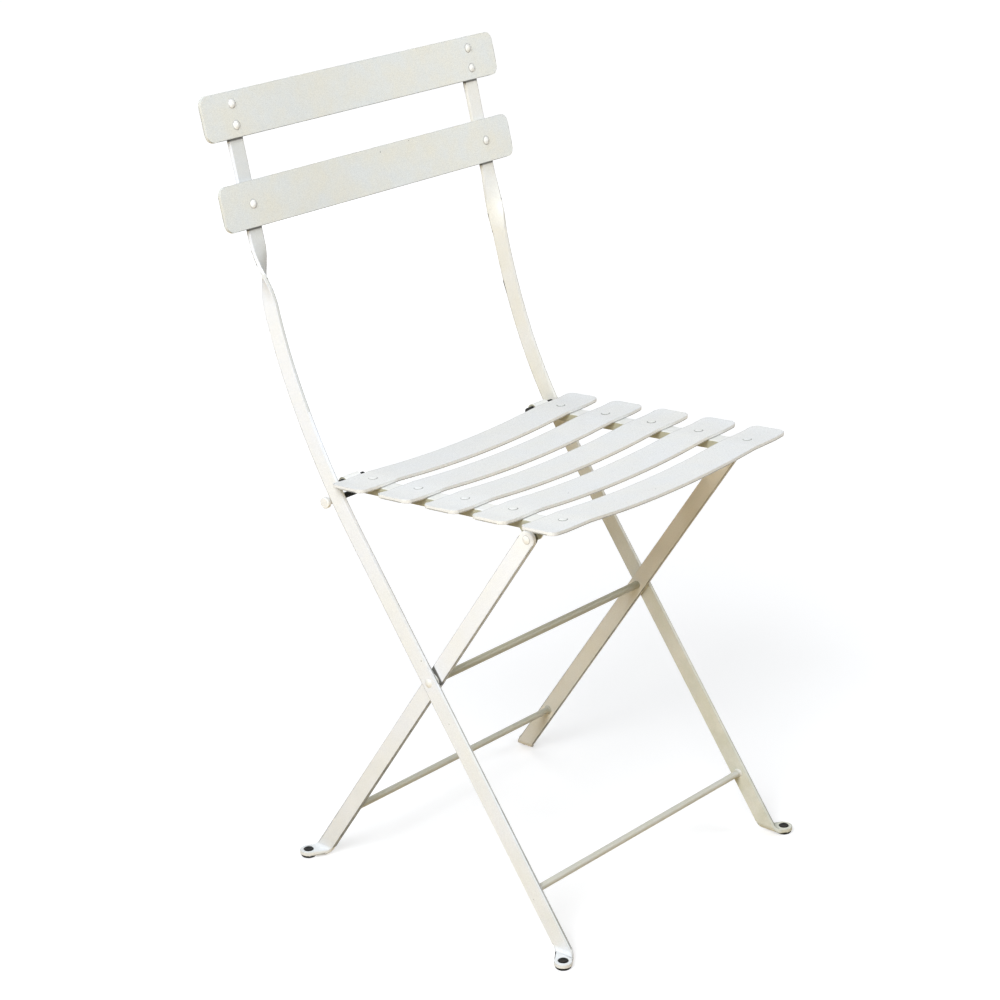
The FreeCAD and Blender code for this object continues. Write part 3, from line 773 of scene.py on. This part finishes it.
# %% Effect: darker towards the ground, partly dust and partly painted shade
dust_and_low_shade, given, out = new_group(
    "ground dust",
    [("Vector", vector, None), ("Height", value, 0.5), ("Scale", value, 30.0)],
    [("Mask", value)])
apart = add_node(dust_and_low_shade, "ShaderNodeSeparateXYZ")
depth = add_node(dust_and_low_shade, "ShaderNodeMath", operation="DIVIDE")
fade = add_node(dust_and_low_shade, "ShaderNodeMapRange", {"To Min": 1.0, "To Max": 0.0})
noise = add_node(dust_and_low_shade, "ShaderNodeTexNoise", {"Detail": 5.0, "Roughness": 0.6})
patch = add_node(dust_and_low_shade, "ShaderNodeMapRange", {"From Min": 0.35, "From Max": 0.65, "To Min": 0.5})
mask = add_node(dust_and_low_shade, "ShaderNodeMath", operation="MULTIPLY")
dust_and_low_shade.links.new(given.outputs["Vector"], apart.inputs["Vector"])
dust_and_low_shade.links.new(apart.outputs["Z"], depth.inputs[0])
dust_and_low_shade.links.new(given.outputs["Height"], depth.inputs[1])
dust_and_low_shade.links.new(depth.outputs[0], fade.inputs["Value"])
dust_and_low_shade.links.new(given.outputs["Vector"], noise.inputs["Vector"])
dust_and_low_shade.links.new(given.outputs["Scale"], noise.inputs["Scale"])
dust_and_low_shade.links.new(noise.outputs["Fac"], patch.inputs["Value"])
dust_and_low_shade.links.new(fade.outputs["Result"], mask.inputs[0])
dust_and_low_shade.links.new(patch.outputs["Result"], mask.inputs[1])
dust_and_low_shade.links.new(mask.outputs[0], out.inputs["Mask"])
print(dust_and_low_shade.name, len(dust_and_low_shade.nodes), "nodes")

# %% [markdown]
# ## Paint
#
# All the steel has one cream powder coat, but each family of pieces gets its own tints, partly as
# painted light and shade: the back slats are greyest, as painted shade, and most clouded, the seat is
# a neutral grey white with fine grain, the bars on the sitter's right are the whitest, as painted
# light, and those on the left the creamiest and darkest, as painted shade and dust. One function lays
# the same layers in the same order. Worn edges and flecks show the grey primer, which also darkens the
# edges that face away from the light as painted shade. Then come a darkening towards the ground,
# partly dust and partly painted shade, painted shade on marked faces, under the seat and on the
# sitter's right of the back slats, and thin lines of painted shadow.

# %% Tints under and over the cream
primer_and_shade = (0.11, 0.11, 0.09, 1)
shadow_dark = (0.05, 0.045, 0.03, 1)
# Towards the ground the paint gets darker and earthier, partly as dust and partly as painted shade.
earth_and_low_shade = (0.38, 0.40, 0.26, 1)
shade_olive = (0.21, 0.195, 0.08, 1)
shade_brown = (0.42, 0.33, 0.18, 1)
fleck_strength = 0.8
painted_shade_strength = 0.75
shadow_line_strength = 0.9
# Painted shade lies in a brown band round the height of the seat.
under_seat_shade_band = {"Way": (0, 0, 1), "Place": 0.41, "Width": 0.2}
# The back slats are painted darker towards the sitter's right, as shade.
right_side_shade_band = {"Way": (1, 0, 0), "Place": -0.45, "Width": 0.6}
print("dirt band under the seat at", under_seat_shade_band["Place"], "m")

# %% Helper: layers of a material
def tinted(tree, below, mask, tint, strength):
    """Lay a tint over a colour where a mask is high."""
    weigh = add_node(tree, "ShaderNodeMath", {1: strength}, operation="MULTIPLY")
    layer = add_node(tree, "ShaderNodeMix", {"B": tint}, data_type="RGBA")
    tree.links.new(mask, weigh.inputs[0])
    tree.links.new(weigh.outputs[0], layer.inputs["Factor"])
    tree.links.new(below, layer.inputs["A"])
    return layer.outputs["Result"]


def placed(tree, group, values):
    """A group in a material, with its values."""
    return add_node(tree, "ShaderNodeGroup", values, node_tree=group)


def banded(tree, place, below, band, tint, strength):
    """Lay a tint over a colour along a band of the chair."""
    line = placed(tree, painted_shadow, band)
    tree.links.new(place, line.inputs["Vector"])
    return tinted(tree, below, line.outputs["Mask"], tint, strength)


def relieve(tree, skin, glossiest, dullest, depth, distance):
    """Drive roughness and bump of the main shader with a skin texture."""
    shader = tree.nodes["Principled BSDF"]
    gloss = add_node(tree, "ShaderNodeMapRange", {"To Min": glossiest, "To Max": dullest})
    relief = add_node(tree, "ShaderNodeBump", {"Strength": depth, "Distance": distance})
    tree.links.new(skin.outputs["Height"], gloss.inputs["Value"])
    tree.links.new(gloss.outputs["Result"], shader.inputs["Roughness"])
    tree.links.new(skin.outputs["Height"], relief.inputs["Height"])
    tree.links.new(relief.outputs["Normal"], shader.inputs["Normal"])


# %% Helper: a painted finish
gloss_below = 0.06
gloss_above = 0.12
peel_depth = 0.35
peel_distance = 0.00012
grain_spread = {"From Min": 0.35, "From Max": 0.65}


def paint(name, cool, warm, cloud_scale, grain=0.12, edge=0.55, roughness=0.42, rarity=0.93,
          low_dust_and_shade=0.2, under_seat_shade=0.0, side_shade=0.0, lines=()):
    """A painted finish from the shared effects, with painted shade laid over its wear and flecks; each
    painted shadow line is a way, a place and a width.
    """
    material = bpy.data.materials.new(name)
    material.use_nodes = True
    tree = material.node_tree
    place = add_node(tree, "ShaderNodeTexCoord").outputs["Object"]
    mark = add_node(tree, "ShaderNodeAttribute", attribute_name="edge_wear_and_shade").outputs["Fac"]
    painted_shade_fac = add_node(tree, "ShaderNodeAttribute", attribute_name="painted_shade").outputs["Fac"]
    cloud = placed(tree, clouds, {"Cool": cool, "Warm": warm, "Scale": cloud_scale})
    skin = placed(tree, peel, {})
    wear_and_shade = placed(tree, worn_and_shaded, {})
    chip = placed(tree, flecks, {"Rarity": rarity})
    ground = placed(tree, dust_and_low_shade, {})
    for node in (cloud, skin, wear_and_shade, chip, ground):
        tree.links.new(place, node.inputs["Vector"])
    tree.links.new(mark, wear_and_shade.inputs["Edge"])
    shade = add_node(tree, "ShaderNodeMapRange", grain_spread)
    shade.inputs["To Min"].default_value = 1.0 - grain
    tree.links.new(skin.outputs["Grain"], shade.inputs["Value"])
    grained = add_node(tree, "ShaderNodeVectorMath", operation="SCALE")
    tree.links.new(cloud.outputs["Color"], grained.inputs[0])
    tree.links.new(shade.outputs["Result"], grained.inputs["Scale"])
    coat = tinted(tree, grained.outputs["Vector"], wear_and_shade.outputs["Mask"], primer_and_shade, edge)
    coat = tinted(tree, coat, chip.outputs["Mask"], primer_and_shade, fleck_strength)
    coat = tinted(tree, coat, ground.outputs["Mask"], earth_and_low_shade, low_dust_and_shade)
    coat = tinted(tree, coat, painted_shade_fac, shade_olive, painted_shade_strength)
    coat = banded(tree, place, coat, under_seat_shade_band, shade_brown, under_seat_shade)
    coat = banded(tree, place, coat, right_side_shade_band, primer_and_shade, side_shade)
    for line_way, line_place, line_width in lines:
        band = {"Way": line_way, "Place": line_place, "Width": line_width}
        coat = banded(tree, place, coat, band, shadow_dark, shadow_line_strength)
    tree.links.new(coat, tree.nodes["Principled BSDF"].inputs["Base Color"])
    relieve(tree, skin, roughness - gloss_below, roughness + gloss_above, peel_depth,
            peel_distance)
    print(name, len(tree.nodes), "nodes")
    return material


def cover(pieces, material):
    """Give some pieces one finish."""
    for piece in pieces:
        piece.data.materials.clear()
        piece.data.materials.append(material)


# %% Where painted shadow lines cross the bars
stile_way = back_way.cross(across)
# Thin lines of painted shadow lie on the stiles just under each back slat, and on the right short leg
# beside the long leg's front edge, where the legs cross.
slat_line = 0.0026
crossing_line = 0.003
crossing_ahead = 0.0085
long_leg_lean = math.radians(35.8)
pivot = middle_of([vertex.co for vertex in nodes["pivot_rod"].data.vertices])
slat_feet = [reach_of([vertex.co for vertex in nodes[node].data.vertices], stile_way)[0]
             for node in back_slats]
under_slats = [(stile_way, foot, slat_line) for foot in slat_feet]
leg_front = Vector((0, -math.cos(long_leg_lean), math.sin(long_leg_lean)))
crossing = (leg_front, pivot.dot(leg_front) + crossing_ahead, crossing_line)
print("dirt lines at", [round(place, 4) for way, place, width in under_slats + [crossing]])

# %% Paint of the bars
outlined = 0.92
# The bars on the sitter's right, which the left lamp lights, get a cooler and whiter copy of the
# cream, as painted light; the bars on the left get a warmer copy, darkened towards the ground and
# under the seat, as painted shade and dust.
lit_right_bar_paint = paint("lit_cream_bar_paint", (0.86, 0.885, 0.93, 1), (0.865, 0.88, 0.88, 1), 22.0,
                        edge=outlined, low_dust_and_shade=0.12, lines=under_slats)
crossed_bar_paint = paint("crossed_bar_paint", (0.86, 0.885, 0.93, 1), (0.865, 0.88, 0.88, 1),
                          22.0, edge=outlined, low_dust_and_shade=0.12, lines=[crossing])
shaded_left_bar_paint = paint("shaded_dusty_bar_paint", (0.86, 0.86, 0.83, 1), (0.85, 0.83, 0.75, 1), 22.0,
                       edge=outlined, low_dust_and_shade=0.6, under_seat_shade=0.08, lines=under_slats)
short_bar_paint = paint("under_seat_shaded_bar_paint", (0.87, 0.86, 0.81, 1), (0.86, 0.83, 0.74, 1), 22.0,
                        edge=outlined, low_dust_and_shade=0.1, under_seat_shade=0.4)
for piece, coat in zip(bar_pieces, (shaded_left_bar_paint, lit_right_bar_paint, short_bar_paint,
                                    crossed_bar_paint)):
    cover([piece], coat)

# %% Paint of the back slats, the seat and the small steel pieces
# The back slats get a greyer copy of the cream, as painted shade.
back_paint = paint("clouded_shaded_back_paint", (0.82, 0.845, 0.825, 1), (0.85, 0.835, 0.74, 1), 26.0,
                   grain=0.2, edge=outlined, side_shade=0.15)
seat_paint = paint("grained_seat_paint", (0.86, 0.865, 0.855, 1), (0.88, 0.87, 0.83, 1), 18.0,
                   grain=0.22, edge=outlined)
small_paint = paint("small_part_paint", (0.88, 0.88, 0.87, 1), (0.87, 0.86, 0.80, 1), 60.0,
                    roughness=0.36, rarity=0.97)
# The hinge washers are painted nearly black, as painted shade in the gaps of each hinge.
shaded_washer_paint = paint("shade_dark_washer_paint", (0.22, 0.21, 0.16, 1), (0.14, 0.13, 0.08, 1), 90.0,
                     roughness=0.5, rarity=0.97)
cover(back_pieces, back_paint)
cover(seat_pieces, seat_paint)
cover(rail_pieces + hinge_pieces + rod_pieces, small_paint)
cover(hinge_pieces[1:2], shaded_washer_paint)
cover(rivet_pieces[:2], small_paint)
cover(rivet_pieces[2:], seat_paint)
print(len(bpy.data.materials), "finishes so far")

# %% [markdown]
# ## Black plastic
#
# Sleeves and glides are moulded in black plastic. New it would be nearly even, but it stands on the
# ground, so it carries grey dust in clouds, and its fine grain makes it dull.

# %% Moulded plastic
plastic_specular = 0.16
plastic_glossiest = 0.42
plastic_dullest = 0.7
grain_depth = 0.4
grain_distance = 0.0001


def moulded_plastic():
    """A dull black with clouds of dust and the fine grain of a mould."""
    material = bpy.data.materials.new("dusty_black_plastic")
    material.use_nodes = True
    tree = material.node_tree
    shader = tree.nodes["Principled BSDF"]
    place = add_node(tree, "ShaderNodeTexCoord").outputs["Object"]
    cloud = placed(tree, clouds, {"Cool": (0.008, 0.009, 0.009, 1), "Warm": (0.03, 0.029, 0.025, 1),
                                  "Scale": 240.0, "Contrast": 0.8})
    skin = placed(tree, peel, {"Peel scale": 1500.0, "Grain share": 0.6})
    for node in (cloud, skin):
        tree.links.new(place, node.inputs["Vector"])
    shader.inputs["Specular IOR Level"].default_value = plastic_specular
    tree.links.new(cloud.outputs["Color"], shader.inputs["Base Color"])
    relieve(tree, skin, plastic_glossiest, plastic_dullest, grain_depth, grain_distance)
    print(material.name, len(tree.nodes), "nodes")
    return material


plastic = moulded_plastic()
cover(plastic_pieces, plastic)
for node, packed in nodes.items():
    cover([packed], plastic if "glides" in node or "sleeves" in node else small_paint)

# %% [markdown]
# ## Light
#
# In the photograph the faces that look left are brightest, they fade towards the far side and under
# the seat, and the back slats brighten to the right. So the main lamp is a large soft one on the
# left, a weaker and nearer one stands in front on the right, and one hangs above. Another behind
# is for views from the back, which the photograph doesn't show. The world adds very little, so
# that the shadows under the seat stay deep. The camera and mirror-like rays see it as white paper.

# %% World
sky_strength = 0.02
world = bpy.data.worlds.new("studio")
bpy.context.scene.world = world
world.use_nodes = True
sky = world.node_tree
shown = add_node(sky, "ShaderNodeLightPath")


def seen_directly(tree, rays):
    """One where the camera, a reflection or a see-through surface looks straight at it."""
    first = add_node(tree, "ShaderNodeMath", operation="MAXIMUM")
    second = add_node(tree, "ShaderNodeMath", operation="MAXIMUM")
    tree.links.new(rays.outputs["Is Camera Ray"], first.inputs[0])
    tree.links.new(rays.outputs["Is Glossy Ray"], first.inputs[1])
    tree.links.new(first.outputs[0], second.inputs[0])
    tree.links.new(rays.outputs["Is Transmission Ray"], second.inputs[1])
    return second.outputs[0]


level = add_node(sky, "ShaderNodeMapRange", {"To Min": sky_strength, "To Max": 1.0})
sky.nodes["Background"].inputs["Color"].default_value = (1, 1, 1, 1)
sky.links.new(seen_directly(sky, shown), level.inputs["Value"])
sky.links.new(level.outputs["Result"], sky.nodes["Background"].inputs["Strength"])
print("the world lights the chair at", sky_strength)

# %% Lamps
chair_middle = Vector((0, 0, 0.42))
daylight = (0.96, 0.99, 1.03)


def soft_lamp(name, place, size, power):
    """A square lamp that looks at the middle of the chair."""
    lamp = bpy.data.lights.new(name, "AREA")
    lamp.shape = "SQUARE"
    lamp.size = size
    lamp.energy = power
    lamp.color = daylight
    holder = bpy.data.objects.new(name, lamp)
    bpy.context.scene.collection.objects.link(holder)
    turn = (Vector(place) - chair_middle).to_track_quat("Z", "Y").to_matrix().to_4x4()
    holder.matrix_world = Matrix.Translation(Vector(place)) @ turn
    print(name, power, "W")


soft_lamp("left_lamp", (-2.05, -0.75, 1.95), 1.4, 84)
soft_lamp("front_lamp", (1.15, -1.2, 1.2), 0.8, 12)
soft_lamp("top_lamp", (0.0, 0.3, 3.2), 2.0, 15)
soft_lamp("rear_lamp", (0.6, 2.6, 1.5), 1.6, 18)
bpy.context.scene.view_settings.view_transform = "Standard"

# %% [markdown]
# ## Floor
#
# The chair stands on a plain floor that the camera sees as white, with the chair's soft shadow on
# it. The lamps are near, so the floor would fade to grey behind the chair. To the camera it glows
# a little, more so further away, and no lamp has to be stronger for that. To other rays the floor
# is a warm beige, so that it throws a little olive light under the seat, as in the photograph.

# %% Floor
floor_reach = 30
floor_mesh = bpy.data.meshes.new("floor")
bm = bmesh.new()
bmesh.ops.create_grid(bm, x_segments=2, y_segments=2, size=floor_reach)
bm.to_mesh(floor_mesh)
bm.free()
floor = bpy.data.objects.new("floor", floor_mesh)
bpy.context.scene.collection.objects.link(floor)
print("floor", 2 * floor_reach, "m wide")

# %% Paper of the floor
bounce_tint = (0.68, 0.50, 0.24, 1)
paper_tint = (0.5, 0.5, 0.5, 1)
glow_near = 0.6
glow_starts = 0.4
glow_full = 2.4
floor_paint = bpy.data.materials.new("white_paper_floor")
floor_paint.use_nodes = True
ground = floor_paint.node_tree
matt = ground.nodes["Principled BSDF"]
matt.inputs["Roughness"].default_value = 0.9
matt.inputs["Specular IOR Level"].default_value = 0.0
seen = seen_directly(ground, add_node(ground, "ShaderNodeLightPath"))
sheet = add_node(ground, "ShaderNodeMix", {"A": bounce_tint, "B": paper_tint}, data_type="RGBA")
spot = add_node(ground, "ShaderNodeTexCoord").outputs["Object"]
away = add_node(ground, "ShaderNodeVectorMath", operation="LENGTH")
whiter = add_node(ground, "ShaderNodeMapRange", {"From Min": glow_starts, "From Max": glow_full,
                                                 "To Min": glow_near})
glow = add_node(ground, "ShaderNodeMath", operation="MULTIPLY")
matt.inputs["Emission Color"].default_value = (1, 1, 1, 1)
ground.links.new(seen, sheet.inputs["Factor"])
ground.links.new(spot, away.inputs[0])
ground.links.new(away.outputs["Value"], whiter.inputs["Value"])
ground.links.new(whiter.outputs["Result"], glow.inputs[0])
ground.links.new(seen, glow.inputs[1])
ground.links.new(sheet.outputs["Result"], matt.inputs["Base Color"])
ground.links.new(glow.outputs[0], matt.inputs["Emission Strength"])
floor_mesh.materials.append(floor_paint)
print(floor_paint.name, len(ground.nodes), "nodes")
